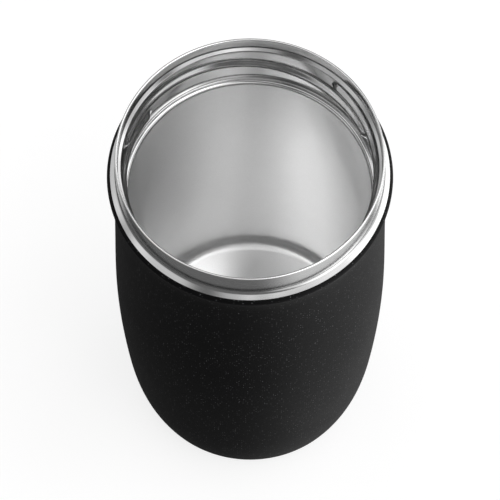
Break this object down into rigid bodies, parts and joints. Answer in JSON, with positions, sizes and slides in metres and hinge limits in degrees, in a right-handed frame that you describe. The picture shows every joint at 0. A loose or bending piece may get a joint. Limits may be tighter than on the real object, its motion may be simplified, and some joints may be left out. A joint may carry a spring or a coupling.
{
  "type": "vacuum tumbler body",
  "caption": "Double-wall vacuum tumbler without its lid: bare steel neck with an inside screw thread, black powder-coated body tapering to a soft foot.",
  "frame": {"origin": "centre of the foot pad's underside, on the axis", "axes": "+Z along the axis from the base to the open mouth; +X and +Y are the same but for the start of the thread"},
  "size_m": [0.086, 0.086, 0.1528],
  "materials": {
    "liner_steel": "fine satin, drawn and blasted, soft reflections",
    "neck_steel": "turned and polished, fine rings around the axis",
    "plate_steel": "pressed sheet, brushed one way",
    "weld_steel": "weld bead, lightly tinted, not dressed",
    "black_powder_coat": "satin black, fine grain with sparse bright flecks",
    "solder_glass": "dark fused glass, glossy",
    "copper_foil": "bright rolled foil, slightly creased",
    "getter_alloy": "grey pressed powder, matt",
    "adhesive": "translucent film",
    "silicone": "matt moulded silicone"
  },
  "bodies": {
    "root": {"inner_liner": "liner_steel", "liner_bottom": "liner_steel", "liner_weld_bead": "weld_steel", "lip_weld_bead": "neck_steel", "outer_shell": "neck_steel", "powder_coat": "black_powder_coat", "outer_bottom": "plate_steel", "base_weld_bead": "weld_steel", "vacuum_seal": "solder_glass", "heat_foil": "copper_foil", "getter": "getter_alloy", "getter_clip": "plate_steel", "base_cover": "plate_steel", "pad_glue": "adhesive", "foot_pad": "silicone"}
  },
  "joints": []
}
